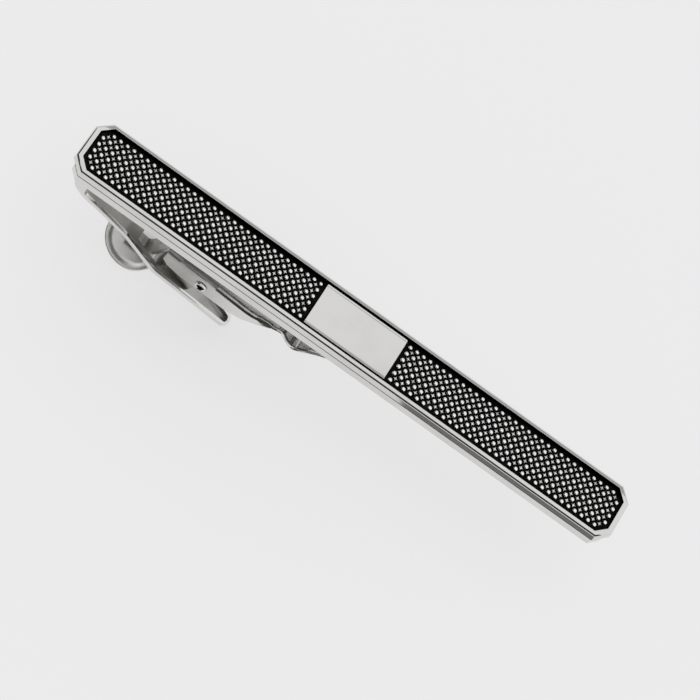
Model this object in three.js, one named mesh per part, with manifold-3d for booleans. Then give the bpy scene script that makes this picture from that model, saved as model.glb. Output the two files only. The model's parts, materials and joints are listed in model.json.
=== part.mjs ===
// Tie bar with a sprung pinch clasp.
//
// Millimetres, +Z up. The origin is the middle of the bar's back face, the face that lies on the tie.
// +X runs along the bar to its free end, the clasp hangs below the other end, and the show face looks up.

import * as THREE from 'three';
import { mergeVertices } from 'three/addons/utils/BufferGeometryUtils.js';
import Module from 'manifold-3d';

const wasm = await Module();
wasm.setup();

// The bar, seen from above: an octagon with short cut corners.
const BAR_LENGTH = 60;
const BAR_WIDTH = 6.1;
const CORNER_CUT = 1.25;
const RIM_SIDE = 0.53;
const RIM_END = 0.65;
const RECESS_CUT = 0.9;

// Heights in the bar: the back layer first, the front frame on it, and the recess floor in the frame.
const BACK_THICKNESS = 1.3;
const FRAME_HEIGHT = 1.05;
const FLOOR_THICKNESS = 0.35;

// What lies in the recess.
const PLAQUE_LENGTH = 9;
const PLAQUE_SIDE_GAP = 0.22;
const PLAQUE_EDGE_HEIGHT = 0.58;
const PLAQUE_CROWN_RADIUS = 16;
const INLAY_EDGE_HEIGHT = 0.32;
const INLAY_CROWN_RADIUS = 16;

// The strap: back layer, bend, and a gutter that runs back under the bar. Lengths along X are measured
// from the bar's left end, and slopes are degrees below the horizontal.
const BACK_INSET = 0.06;
const STRAP_END_INSET = 0.45;
const STRAP_THICKNESS = 0.35;
const GUTTER_DEPTH = 1;
const BEND_RADIUS = 6.3;
const BEND_TOP = 0.6;
const BEND_START_SLOPE = 75;
const FIRST_SLOPE = 26;
const FIRST_RUN = 3.6;
const STEEP_SLOPE = 38;
const STEEP_RUN = 3.9;
const LAST_SLOPE = 27;
const LAST_RUN = 9.6;
const ELBOW_RADIUS = 5;
const THROAT_START = 2.65;
const TIP_RADIUS = 0.6;
const TIP_HALF_WIDTH = 0.75;
const STRAP_SIDE_INSETS = { bend: 0.13, throat: 0.3, firstElbow: 0.55, lastElbow: 0.85 };

// The window in the gutter's floor, which the lever's arm passes through.
const WINDOW_START = 8.9;
const WINDOW_LENGTH = 2.8;
const ARM_WIDTH = 1.8;
const WINDOW_SIDE_GAP = 0.3;

// The pivot, and what turns on it.
const PIVOT_FROM_END = 16.3;
const PIVOT_DEPTH = 4.1;
const PIN_RADIUS = 0.35;
const PIN_CLEARANCE = 0.05;
const PIN_HEAD_RADIUS = 0.62;
const PIN_HEAD_HEIGHT = 0.22;
const PIN_HEAD_CHAMFER = 0.12;

// The hinge bracket's base and lugs.
const BRACKET_THICKNESS = 0.3;
const BRACKET_WIDTH = 2;
const LUG_RADIUS = 0.78;
const LUG_WRAP = 150;
const BRACKET_START = 12.3;
const BRACKET_LENGTH = 3.1;

// The lever: a channel with a web on top, two flanges, an arm to the pad and a tongue to the tip. Its
// places are counted from the pivot, along X and up, and the tongue's last step is counted from the tip.
const LEVER_SIDE_INSET = 0.75;
const LEVER_THICKNESS = 0.35;
const WEB_PLACES = [
  [-4.3, 1.75], [-2.5, 1.45], [0, 1.25], [3, 0.85], [5.5, 0.75],
  [7.6, 1.65], [8.6, 1.8], [10.1, 0.55], [11.6, 1.9],
];
const JAW_REACH = 15.9;
const LAST_STEP = [2.7, 0.85];
const ARM_PLACES = [[-3.2, 1.5], [-4.05, 0.9], [-4.6, -0.9], [-5.3, -2.9], [-5.75, -3.75]];
const FLANGE_NOSE = [-4.55, 1.5];
const FLANGE_HEEL = [-0.5, -0.85];
const FLANGE_BELLY = [3, -1.1];
const FLANGE_SHOULDER = [6.5, 0.75];
const FLANGE_END = 7.4;

// The thumb pad, a dished disc with a raised middle.
const PAD_RADIUS = 3;
const PAD_THICKNESS = 0.75;
const PAD_BELLY = 0.42;
const PAD_STEP = 0.25;
const PAD_RIM = 0.3;
const PAD_GROOVE = 0.4;
const PAD_CHAMFER = 0.1;
const PAD_EDGE_FROM_PIVOT = 4.45;
const PAD_DROP = 5.6;
const PAD_TILT = 10;

// Where the arm's foot lies on the pad, as places left of the pad's middle.
const FOOT_PLACES = [-1.05, -0.45, 0.75];

// The spring.
const WIRE_RADIUS = 0.14;
const COIL_RADIUS = 0.62;
const COIL_TURNS = 3;
const COIL_PITCH = 0.34;
const SPRING_LEG = 2.1;
const SPRING_LEG_SHARE = 0.12;
const SPRING_START_ANGLE = 200;
const SPRING_EXTRA_TURN = 120;
const WIRE_SIDES = 8;
const STEPS_PER_TURN = 14;

// Clearances between pieces that touch in the real object.
const SEAT_GAP = 0.03;
const SIDE_GAP = 0.05;
const JAW_GAP = 0.05;

const ARC_STEPS = 10;
const ROUND_STEPS = 32;
const WEB_STEPS = 44;
const ARM_STEPS = 18;

// Values that follow from the ones above.
const TOTAL_HEIGHT = BACK_THICKNESS + FRAME_HEIGHT;
const RECESS_FLOOR = BACK_THICKNESS + FLOOR_THICKNESS;
const RECESS_LENGTH = BAR_LENGTH - 2 * RIM_END;
const RECESS_WIDTH = BAR_WIDTH - 2 * RIM_SIDE;
const LEVER_WIDTH = BAR_WIDTH - 2 * LEVER_SIDE_INSET;
const PAD_FROM_PIVOT = PAD_EDGE_FROM_PIVOT + PAD_RADIUS;
const LEFT_END = -BAR_LENGTH / 2;
const PIVOT = new THREE.Vector2(LEFT_END + PIVOT_FROM_END, -PIVOT_DEPTH);
const PIN_HOLE_RADIUS = PIN_RADIUS + PIN_CLEARANCE;

const SILVER = { color: 0xd9d8d4, roughness: 0.12, metalness: 1 };
const BLACKENED = { color: 0x4a4a4a, roughness: 0.4, metalness: 1 };
const SPRING_STEEL = { color: 0xa9a7a2, roughness: 0.3, metalness: 1 };

const radians = THREE.MathUtils.degToRad;

function toSolid(geometry) {
  const bare = geometry.clone();
  bare.deleteAttribute('normal');
  bare.deleteAttribute('uv');
  const merged = mergeVertices(bare, 1e-5);
  const mesh = new wasm.Mesh({
    numProp: 3,
    vertProperties: new Float32Array(merged.attributes.position.array),
    triVerts: new Uint32Array(merged.index.array),
  });
  return new wasm.Manifold(mesh);
}

function toGeometry(solid) {
  const mesh = solid.getMesh();
  const geometry = new THREE.BufferGeometry();
  const positions = [];
  for (let i = 0; i < mesh.numVert; i++) {
    const at = i * mesh.numProp;
    positions.push(mesh.vertProperties[at], mesh.vertProperties[at + 1], mesh.vertProperties[at + 2]);
  }
  geometry.setAttribute('position', new THREE.Float32BufferAttribute(positions, 3));
  geometry.setIndex(Array.from(mesh.triVerts));
  geometry.computeVertexNormals();
  return geometry;
}

function namedMesh(name, geometry, finish) {
  const mesh = new THREE.Mesh(geometry, new THREE.MeshStandardMaterial(finish));
  mesh.name = name;
  return mesh;
}

// A plate with the given plan outline, from one height to another.
function plate(outline, low, high) {
  const geometry = new THREE.ExtrudeGeometry(outline, {
    depth: high - low,
    bevelEnabled: false,
    curveSegments: ROUND_STEPS,
  });
  return toSolid(geometry.translate(0, 0, low));
}

// A solid with the given side outline, drawn in X and Z, from one Y to another.
function crosswise(outline, near, far) {
  const geometry = new THREE.ExtrudeGeometry(outline, {
    depth: far - near,
    bevelEnabled: false,
    curveSegments: ROUND_STEPS,
  });
  return toSolid(geometry.rotateX(Math.PI / 2).translate(0, far, 0));
}

function bothSides(make) {
  return make(-1).add(make(1));
}

function octagon(length, width, cut) {
  const x = length / 2;
  const y = width / 2;
  return new THREE.Shape([
    new THREE.Vector2(-x + cut, -y),
    new THREE.Vector2(x - cut, -y),
    new THREE.Vector2(x, -y + cut),
    new THREE.Vector2(x, y - cut),
    new THREE.Vector2(x - cut, y),
    new THREE.Vector2(-x + cut, y),
    new THREE.Vector2(-x, y - cut),
    new THREE.Vector2(-x, -y + cut),
  ]);
}

function rectangle(x0, x1, y0, y1) {
  return new THREE.Shape([
    new THREE.Vector2(x0, y0),
    new THREE.Vector2(x1, y0),
    new THREE.Vector2(x1, y1),
    new THREE.Vector2(x0, y1),
  ]);
}

// A round bar on the pivot's axis, right through the clasp.
function pivotBore(radius) {
  const circle = new THREE.Shape().absarc(PIVOT.x, PIVOT.y, radius, 0, 2 * Math.PI, false);
  return crosswise(circle, -BAR_WIDTH, BAR_WIDTH);
}

// A bar along X, flat below, whose top is a shallow arc across the width.
function crownedBar(length, width, low, edgeHeight, crownRadius) {
  const half = width / 2;
  const sag = crownRadius - Math.sqrt(crownRadius ** 2 - half ** 2);
  const section = new THREE.Shape();
  section.moveTo(-half, low);
  section.lineTo(half, low);
  for (let i = 0; i <= ARC_STEPS; i++) {
    const y = half - (width * i) / ARC_STEPS;
    const rise = Math.sqrt(crownRadius ** 2 - y ** 2) - (crownRadius - sag);
    section.lineTo(y, low + edgeHeight + rise);
  }
  const geometry = new THREE.ExtrudeGeometry(section, { depth: length, bevelEnabled: false });
  geometry.rotateX(Math.PI / 2).rotateZ(Math.PI / 2).translate(-length / 2, 0, 0);
  return toSolid(geometry);
}

function frontFrame() {
  const body = plate(octagon(BAR_LENGTH, BAR_WIDTH, CORNER_CUT), BACK_THICKNESS + SEAT_GAP, TOTAL_HEIGHT);
  const recess = plate(octagon(RECESS_LENGTH, RECESS_WIDTH, RECESS_CUT), RECESS_FLOOR, TOTAL_HEIGHT + 1);
  return toGeometry(body.subtract(recess));
}

function inlay(side) {
  const whole = crownedBar(
    RECESS_LENGTH, RECESS_WIDTH, RECESS_FLOOR + SEAT_GAP, INLAY_EDGE_HEIGHT, INLAY_CROWN_RADIUS,
  );
  const fit = octagon(RECESS_LENGTH - 2 * SIDE_GAP, RECESS_WIDTH - 2 * SIDE_GAP, RECESS_CUT);
  const fitted = whole.intersect(plate(fit, 0, TOTAL_HEIGHT + 1));
  const ends = [side * (PLAQUE_LENGTH / 2 + SIDE_GAP), (side * BAR_LENGTH) / 2];
  const range = rectangle(Math.min(...ends), Math.max(...ends), -BAR_WIDTH, BAR_WIDTH);
  return toGeometry(fitted.intersect(plate(range, 0, TOTAL_HEIGHT + 1)));
}

function centrePlaque() {
  const width = RECESS_WIDTH - 2 * PLAQUE_SIDE_GAP;
  return toGeometry(crownedBar(
    PLAQUE_LENGTH, width, RECESS_FLOOR + SEAT_GAP, PLAQUE_EDGE_HEIGHT, PLAQUE_CROWN_RADIUS,
  ));
}

// Follows straights and arcs in the XZ plane. Each step is { go } or { to, radius }, where to is the new
// slope in degrees below the horizontal. Every point keeps its slope, so that the run can be offset.
function traceRun(start, slope, steps) {
  const points = [{ x: start.x, z: start.y, slope }];
  for (const step of steps) {
    const from = points[points.length - 1];
    if (step.go !== undefined) {
      const angle = radians(from.slope);
      points.push({
        x: from.x + step.go * Math.cos(angle),
        z: from.z - step.go * Math.sin(angle),
        slope: from.slope,
      });
      continue;
    }
    const turn = Math.sign(from.slope - step.to);
    const centre = sideways(from, turn * step.radius);
    for (let i = 1; i <= ARC_STEPS; i++) {
      const slopeHere = from.slope + ((step.to - from.slope) * i) / ARC_STEPS;
      const back = sideways({ x: centre.x, y: 0, z: centre.y, slope: slopeHere }, -turn * step.radius);
      points.push({ x: back.x, z: back.y, slope: slopeHere });
    }
  }
  return points;
}

// The point at a distance to the upper side of a point of a run.
function sideways(point, distance) {
  const angle = radians(point.slope);
  return new THREE.Vector2(
    point.x + distance * Math.sin(angle),
    point.z + distance * Math.cos(angle),
  );
}

const strapRun = traceRun(
  new THREE.Vector2(LEFT_END + STRAP_END_INSET, BEND_TOP),
  BEND_START_SLOPE,
  [
    { to: FIRST_SLOPE, radius: BEND_RADIUS },
    { go: FIRST_RUN },
    { to: STEEP_SLOPE, radius: ELBOW_RADIUS },
    { go: STEEP_RUN },
    { to: LAST_SLOPE, radius: ELBOW_RADIUS },
    { go: LAST_RUN },
  ],
);
const strapTip = strapRun[strapRun.length - 1];

// The height, at a given X, of the line that runs at a distance above the gutter's outer face.
function gutterHeight(x, distance) {
  const line = strapRun.map((point) => sideways(point, distance));
  const next = line.findIndex((point) => point.x >= x);
  const a = line[next - 1];
  const b = line[next];
  return a.y + ((b.y - a.y) * (x - a.x)) / (b.x - a.x);
}

// Side outline of the bend and gutter, filled from its outer face up to a line above it.
function gutterSide(low, high, throatX) {
  const lower = strapRun.map((point) => sideways(point, low));
  const upper = strapRun.map((point) => sideways(point, high)).filter((point) => point.x > throatX);
  const top = BACK_THICKNESS / 2;
  return new THREE.Shape([
    new THREE.Vector2(lower[0].x, top),
    ...lower,
    ...upper.reverse(),
    new THREE.Vector2(throatX, gutterHeight(throatX, high)),
    new THREE.Vector2(throatX, top),
  ]);
}

// Plan outline of the gutter, drawn in by a wall's thickness where that is given.
function gutterPlan(wall) {
  const elbow = strapRun[ARC_STEPS + 1].x;
  const lastElbow = strapRun[3 * ARC_STEPS + 2].x;
  const tipCentre = strapTip.x - TIP_RADIUS;
  const half = BAR_WIDTH / 2;
  const inset = STRAP_SIDE_INSETS;
  const stations = [
    [LEFT_END + STRAP_END_INSET, half - inset.bend],
    [LEFT_END + THROAT_START, half - inset.throat],
    [elbow, half - inset.firstElbow],
    [lastElbow, half - inset.lastElbow],
    [tipCentre, TIP_HALF_WIDTH],
  ];
  const near = stations.map(([x, w]) => new THREE.Vector2(x, -(w - wall)));
  const far = near.map((p) => new THREE.Vector2(p.x, -p.y)).reverse();
  const tip = [];
  for (let i = 1; i < ARC_STEPS; i++) {
    const angle = (Math.PI * i) / ARC_STEPS - Math.PI / 2;
    tip.push(new THREE.Vector2(
      tipCentre + (TIP_RADIUS - wall) * Math.cos(angle),
      (TIP_HALF_WIDTH - wall) * Math.sin(angle),
    ));
  }
  return new THREE.Shape([...near, ...tip, ...far]);
}

function claspStrap() {
  const deep = strapTip.z - 2;
  const throatX = LEFT_END + THROAT_START;
  const shell = crosswise(gutterSide(0, GUTTER_DEPTH, throatX), -BAR_WIDTH, BAR_WIDTH)
    .intersect(plate(gutterPlan(0), deep, BACK_THICKNESS));
  const hollow = crosswise(hollowSide(), -BAR_WIDTH, BAR_WIDTH)
    .intersect(plate(gutterPlan(STRAP_THICKNESS), deep, 0));
  const back = plate(
    octagon(BAR_LENGTH - 2 * STRAP_END_INSET, BAR_WIDTH - 2 * BACK_INSET, CORNER_CUT - STRAP_END_INSET),
    0,
    BACK_THICKNESS,
  );
  const windowHalf = ARM_WIDTH / 2 + WINDOW_SIDE_GAP;
  const windowX = LEFT_END + WINDOW_START;
  const window = plate(rectangle(windowX, windowX + WINDOW_LENGTH, -windowHalf, windowHalf), deep, -1);
  return toGeometry(shell.subtract(hollow).add(back).subtract(window));
}

// Side outline of the space inside the gutter, above its floor and under the back layer.
function hollowSide() {
  const floor = strapRun.map((point) => sideways(point, STRAP_THICKNESS)).filter((point) => point.y < 0);
  const last = floor[floor.length - 1];
  return new THREE.Shape([...floor, new THREE.Vector2(last.x + 1, last.y), new THREE.Vector2(last.x + 1, 0)]);
}

function lugSide() {
  const start = LEFT_END + BRACKET_START;
  const end = start + BRACKET_LENGTH;
  const seat = (x) => new THREE.Vector2(x, gutterHeight(x, STRAP_THICKNESS + SEAT_GAP));
  const shape = new THREE.Shape();
  shape.moveTo(seat(start).x, seat(start).y);
  shape.lineTo(seat(end).x, seat(end).y);
  shape.absarc(PIVOT.x, PIVOT.y, LUG_RADIUS, 0, radians(LUG_WRAP), false);
  shape.closePath();
  return shape;
}

function hingeBracket() {
  const half = BRACKET_WIDTH / 2;
  const lugs = bothSides((side) => {
    const inner = side * (half - BRACKET_THICKNESS);
    const outer = side * half;
    return crosswise(lugSide(), Math.min(inner, outer), Math.max(inner, outer));
  });
  const start = LEFT_END + BRACKET_START;
  const end = start + BRACKET_LENGTH;
  const low = STRAP_THICKNESS + SEAT_GAP;
  const base = new THREE.Shape([
    new THREE.Vector2(start, gutterHeight(start, low)),
    new THREE.Vector2(end, gutterHeight(end, low)),
    new THREE.Vector2(end, gutterHeight(end, low + BRACKET_THICKNESS)),
    new THREE.Vector2(start, gutterHeight(start, low + BRACKET_THICKNESS)),
  ]);
  return toGeometry(lugs.subtract(pivotBore(PIN_RADIUS + SEAT_GAP)).add(crosswise(base, -half, half)));
}

function pivotPin() {
  const half = LEVER_WIDTH / 2 + SEAT_GAP;
  const end = half + PIN_HEAD_HEIGHT;
  const farHalf = [
    new THREE.Vector2(PIN_RADIUS, half),
    new THREE.Vector2(PIN_HEAD_RADIUS, half),
    new THREE.Vector2(PIN_HEAD_RADIUS, end - PIN_HEAD_CHAMFER),
    new THREE.Vector2(PIN_HEAD_RADIUS - PIN_HEAD_CHAMFER, end),
    new THREE.Vector2(0, end),
  ];
  const nearHalf = farHalf.map((point) => new THREE.Vector2(point.x, -point.y)).reverse();
  const geometry = new THREE.LatheGeometry([...nearHalf, ...farHalf], ROUND_STEPS);
  return toGeometry(toSolid(geometry).translate([PIVOT.x, 0, PIVOT.y]));
}

// A place counted from the pivot, as a point of the XZ plane.
function fromPivot([along, up]) {
  return new THREE.Vector2(PIVOT.x + along, PIVOT.y + up);
}

// A smooth line through points of the XZ plane, as evenly spaced points.
function smoothLine(points, steps) {
  const curve = new THREE.CatmullRomCurve3(points.map((point) => new THREE.Vector3(point.x, 0, point.y)));
  return curve.getSpacedPoints(steps).map((point) => new THREE.Vector2(point.x, point.z));
}

// Line of the lever's upper face, from the nose at the left to the tip, which ends just under the bar.
function webLine() {
  const tipRise = PIVOT_DEPTH - JAW_GAP;
  const tongue = [[JAW_REACH - LAST_STEP[0], tipRise - LAST_STEP[1]], [JAW_REACH, tipRise]];
  return smoothLine([...WEB_PLACES, ...tongue].map(fromPivot), WEB_STEPS);
}

// A strip of the lever's thickness that hangs below a line of points.
function stripSide(points) {
  const count = points.length;
  const lower = points.map((point, i) => {
    const before = points[Math.max(i - 1, 0)];
    const after = points[Math.min(i + 1, count - 1)];
    const along = after.clone().sub(before).normalize();
    return new THREE.Vector2(point.x + along.y * LEVER_THICKNESS, point.y - along.x * LEVER_THICKNESS);
  });
  return new THREE.Shape([...points, ...lower.reverse()]);
}

// Side outline of a flange: below the web, round at the nose, and running out under the tongue.
function flangeSide(web) {
  const inset = LEVER_THICKNESS / 2;
  const nose = fromPivot(FLANGE_NOSE);
  const heel = fromPivot(FLANGE_HEEL);
  const belly = fromPivot(FLANGE_BELLY);
  const shoulder = fromPivot(FLANGE_SHOULDER);
  const top = web.filter((point) => point.x < PIVOT.x + FLANGE_END);
  const shape = new THREE.Shape();
  shape.moveTo(top[0].x, top[0].y - inset);
  for (const point of top.slice(1)) {
    shape.lineTo(point.x, point.y - inset);
  }
  shape.lineTo(shoulder.x, shoulder.y);
  shape.quadraticCurveTo((shoulder.x + belly.x) / 2, belly.y, belly.x, belly.y);
  shape.lineTo(heel.x, heel.y);
  shape.quadraticCurveTo(nose.x, heel.y, nose.x, nose.y);
  shape.closePath();
  return shape;
}

// Height of the thumb pad's upper face, counted from the pivot, at a distance left of the pivot.
function padTop(left) {
  const tilt = radians(PAD_TILT);
  return (left - PAD_FROM_PIVOT) * Math.tan(tilt) + PAD_THICKNESS / Math.cos(tilt) - PAD_DROP;
}

// The arm leaves the web's left end, goes down through the gutter's window and ends in a foot on the pad.
function armLine() {
  const foot = FOOT_PLACES.map((place) => {
    const left = PAD_FROM_PIVOT + place;
    return [-left, padTop(left) + LEVER_THICKNESS + SEAT_GAP];
  });
  return smoothLine([...ARM_PLACES, ...foot].map(fromPivot), ARM_STEPS);
}

function jawLever() {
  const half = LEVER_WIDTH / 2;
  const web = webLine();
  const channel = crosswise(stripSide(web), -half, half);
  const flanges = bothSides((side) => {
    const inner = side * (half - LEVER_THICKNESS);
    const outer = side * half;
    return crosswise(flangeSide(web), Math.min(inner, outer), Math.max(inner, outer));
  });
  const arm = crosswise(stripSide(armLine().reverse()), -ARM_WIDTH / 2, ARM_WIDTH / 2);
  return toGeometry(channel.add(flanges).add(arm).subtract(pivotBore(PIN_HOLE_RADIUS)));
}

function thumbPad() {
  const top = PAD_THICKNESS;
  const groove = top - PAD_STEP;
  const rimEdge = PAD_RADIUS - PAD_RIM;
  const plateau = rimEdge - PAD_GROOVE;
  const profile = [];
  for (let i = 0; i <= ARC_STEPS; i++) {
    const share = i / ARC_STEPS;
    profile.push(new THREE.Vector2(PAD_RADIUS * share, PAD_BELLY * share ** 4));
  }
  profile.push(
    new THREE.Vector2(PAD_RADIUS, top - PAD_CHAMFER),
    new THREE.Vector2(PAD_RADIUS - PAD_CHAMFER, top),
    new THREE.Vector2(rimEdge, top),
    new THREE.Vector2(rimEdge, groove),
    new THREE.Vector2(plateau, groove),
    new THREE.Vector2(plateau - PAD_CHAMFER, top),
    new THREE.Vector2(0, top),
  );
  const geometry = new THREE.LatheGeometry(profile, ROUND_STEPS);
  geometry.rotateX(Math.PI / 2);
  geometry.rotateY(radians(PAD_TILT));
  return toGeometry(toSolid(geometry).translate([PIVOT.x - PAD_FROM_PIVOT, 0, PIVOT.y - PAD_DROP]));
}

// Wire path: a leg down to the bracket's base, the coil round the pin, and a leg under the web. A leg
// runs straight on from the coil's end, so only its length changes along it.
class SpringPath extends THREE.Curve {
  getPoint(t, target = new THREE.Vector3()) {
    const width = COIL_TURNS * COIL_PITCH;
    const turned = COIL_TURNS * 2 * Math.PI + radians(SPRING_EXTRA_TURN);
    const coilShare = 1 - 2 * SPRING_LEG_SHARE;
    const along = THREE.MathUtils.clamp((t - SPRING_LEG_SHARE) / coilShare, 0, 1);
    const angle = radians(SPRING_START_ANGLE) - turned * along;
    let leg = 0;
    if (t < SPRING_LEG_SHARE) {
      leg = SPRING_LEG * (1 - t / SPRING_LEG_SHARE);
    } else if (t > 1 - SPRING_LEG_SHARE) {
      leg = SPRING_LEG * ((1 - t) / SPRING_LEG_SHARE - 1);
    }
    return target.set(
      PIVOT.x + COIL_RADIUS * Math.cos(angle) - leg * Math.sin(angle),
      width * (along - 0.5),
      PIVOT.y + COIL_RADIUS * Math.sin(angle) + leg * Math.cos(angle),
    );
  }
}

function torsionSpring() {
  const section = new THREE.Shape().absarc(0, 0, WIRE_RADIUS, 0, 2 * Math.PI, false);
  const geometry = new THREE.ExtrudeGeometry(section, {
    steps: STEPS_PER_TURN * (COIL_TURNS + 1),
    curveSegments: WIRE_SIDES,
    bevelEnabled: false,
    extrudePath: new SpringPath(),
  });
  return toGeometry(toSolid(geometry));
}

const tieBar = new THREE.Group();
tieBar.add(
  namedMesh('front_frame', frontFrame(), SILVER),
  namedMesh('inlay_left', inlay(-1), BLACKENED),
  namedMesh('inlay_right', inlay(1), BLACKENED),
  namedMesh('centre_plaque', centrePlaque(), SILVER),
  namedMesh('clasp_strap', claspStrap(), SILVER),
  namedMesh('hinge_bracket', hingeBracket(), SILVER),
  namedMesh('pivot_pin', pivotPin(), SILVER),
  namedMesh('torsion_spring', torsionSpring(), SPRING_STEEL),
  namedMesh('jaw_lever', jawLever(), SILVER),
  namedMesh('thumb_pad', thumbPad(), SILVER),
);

export default tieBar;
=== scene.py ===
import json
import math

import bmesh
import bpy
from bpy.props import FloatProperty, FloatVectorProperty, IntProperty, PointerProperty
from mathutils import Matrix, Vector


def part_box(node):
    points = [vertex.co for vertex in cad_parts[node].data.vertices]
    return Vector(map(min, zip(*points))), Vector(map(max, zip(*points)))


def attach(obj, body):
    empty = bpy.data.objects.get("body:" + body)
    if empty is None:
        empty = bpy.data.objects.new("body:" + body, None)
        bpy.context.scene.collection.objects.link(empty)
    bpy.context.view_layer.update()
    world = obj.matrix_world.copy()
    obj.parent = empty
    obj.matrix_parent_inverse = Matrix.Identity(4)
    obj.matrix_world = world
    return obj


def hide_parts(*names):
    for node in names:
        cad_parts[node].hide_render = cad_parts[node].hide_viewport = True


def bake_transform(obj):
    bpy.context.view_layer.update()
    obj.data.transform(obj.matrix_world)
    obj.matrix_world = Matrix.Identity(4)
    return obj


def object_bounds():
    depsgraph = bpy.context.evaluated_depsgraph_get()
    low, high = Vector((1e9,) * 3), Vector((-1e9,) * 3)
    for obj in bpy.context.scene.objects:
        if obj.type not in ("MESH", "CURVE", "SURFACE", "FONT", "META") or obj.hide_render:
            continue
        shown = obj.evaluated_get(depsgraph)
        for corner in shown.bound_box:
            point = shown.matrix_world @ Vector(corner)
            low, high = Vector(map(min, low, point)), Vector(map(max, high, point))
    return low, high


bl_info = {
    "name": "Beaded Tie Bar",
    "version": (1, 0, 0),
    "blender": (4, 5, 0),
    "location": "View3D > Sidebar > Tie Bar",
    "description": "Builds an octagonal tie bar with beaded panels and a sprung pinch clasp",
    "category": "Add Mesh",
}

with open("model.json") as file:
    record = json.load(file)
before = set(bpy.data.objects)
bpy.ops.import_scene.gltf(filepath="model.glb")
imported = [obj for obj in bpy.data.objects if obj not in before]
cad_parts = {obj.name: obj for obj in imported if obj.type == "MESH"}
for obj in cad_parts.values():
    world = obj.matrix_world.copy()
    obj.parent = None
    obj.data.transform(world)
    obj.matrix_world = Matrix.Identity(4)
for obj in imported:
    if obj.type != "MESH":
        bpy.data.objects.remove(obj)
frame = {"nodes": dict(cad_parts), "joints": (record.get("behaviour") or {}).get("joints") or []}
CAD_BOX = [list(corner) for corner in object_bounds()]

MM = 0.001
BAR_LOW, BAR_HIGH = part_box("front_frame")
STRAP_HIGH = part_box("clasp_strap")[1]
PLAQUE_LOW, PLAQUE_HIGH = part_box("centre_plaque")
LEVER_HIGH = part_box("jaw_lever")[1]
PAD_LOW, PAD_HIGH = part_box("thumb_pad")
PIN_LOW, PIN_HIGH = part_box("pivot_pin")
PIVOT = Vector(frame["joints"][0]["pos_m"])
TOP = BAR_HIGH.z
LEFT_END = BAR_LOW.x
UP = Vector((0, 0, 1))
# Edges that bend by more than SHARP are shaded crisp, and more than SOFTENED get a live bevel.
SHARP = math.radians(38)
SOFTENED = math.radians(40)
# Less than this is no bend. Heights within HAIR are level, and points within MERGE are one.
FLAT = math.radians(1)
HAIR = 0.001 * MM
MERGE = 0.0001 * MM

# How finely the curved shapes are cut up.
BEND_STEPS = 18
RUN_STEPS = 12
LAST_STEPS = 14
ELBOW_STEPS = 6
TIP_STEPS = 10
GUTTER_SIDES = 32
PLAQUE_STEPS = 44
PANEL_STEPS = 24
BEAD_SIDES = 12
STAR_STEPS = 3
CURVE_STEPS = 24
WEB_STEPS = 96
WEB_SIDES = 24
ARM_STEPS = 32
ARM_SIDES = 4
PAD_SIDES = 72
PIN_SIDES = 32
COIL_STEPS = 96
LEG_STEPS = 6
WIRE_SIDES = 10

# Outlines, in millimetres apart from the rivet's and the bead's.

# How much narrower than its box the strap is, at the places that strap_widths takes.
STRAP_NARROWING = (0.07, 0.1, 0.24, 0.41, 0.53, 0.79)
# The lever's web and its flanges' lower edge, along the bar and up from the pivot.
LEVER_WEB = ((-4.3, 1.75), (-2.5, 1.45), (0, 1.25), (3, 0.85), (5.5, 0.75), (7.6, 1.65), (8.6, 1.8),
             (10.1, 0.55), (11.6, 1.9))
LEVER_EDGE = ((-4.55, 1.5), (-4.3, 0.35), (-3.6, -0.35), (-2.2, -0.74), (-0.5, -0.85), (3, -1.1),
              (4.6, -0.75), (5.9, 0.1), (7.4, 1.3))
# The arm, along the bar and up from the pivot, and its foot, down the pad's slope from the pad's middle.
ARM_LINE = ((-3.2, 1.5), (-4.05, 0.9), (-4.6, -0.9), (-5.3, -2.9), (-5.75, -3.75))
ARM_FOOT = (1.05, 0.45, -0.75)
# Gaps between the tongue's tip and the bar's back, and between the arm's foot and the pad.
TIP_GAP = 0.05
FOOT_GAP = 0.03
# The pad's section: in from the edge, and up from the underside.
PAD_RIM = ((0, 0.5), (0.03, 0.56), (0.08, 0.59), (0.14, 0.58), (0.19, 0.51), (0.23, 0.43), (0.27, 0.38),
           (0.31, 0.38), (0.37, 0.43), (0.48, 0.53), (0.6, 0.635), (0.68, 0.69), (0.8, 0.725), (1.1, 0.745))
# A rivet end: out from the axis as a share of the head's radius, and out along it as a share of the end.
RIVET_END = ((0, -2), (0.45, -2), (0.52, -1.2), (0.55, 0), (0.62, 0.7), (0.76, 1), (0.9, 0.85), (0.98, 0.4),
             (1, 0))
# A bead: out from its axis as a share of its radius, and down as a share of the groove's depth.
BEAD_LINE = ((0, 0), (0.35, 0.03), (0.62, 0.13), (0.82, 0.36), (0.94, 0.7), (1, 1.1))

# Cards that only reflections see: name, bearing, lowest and highest elevation in degrees, and brightness.
CARDS = (
    ("front_flag", -90, (0.5, 60), 0.02),
    ("front_scrim", -90, (60.5, 72), 0.5),
    ("left_flag", 180, (0.5, 58), 0.04),
    ("back_flag", 90, (30, 47), 0.42),
)
CARD_REACH = 0.6
# The card on the floor: name, extent along X and along Y in millimetres, and brightness.
LYING_CARD = ("side_flag", (9, 45), (-26, -12), 0.17)


def number_of(name, description, value, **options):
    """A number that a user would change."""
    return FloatProperty(name=name, description=description, default=value, **options)


def length_of(name, description, millimetres):
    """A length that a user would change, kept in metres."""
    return number_of(name, description, millimetres * MM, unit="LENGTH", precision=5)


def angle_of(name, description, degrees):
    """An angle that a user would change."""
    return number_of(name, description, math.radians(degrees), unit="ROTATION")


def colour_of(name, description, colour):
    """A colour that a user would change."""
    return FloatVectorProperty(name=name, description=description, default=colour, subtype="COLOR",
                               size=3, min=0, max=1)


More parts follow.
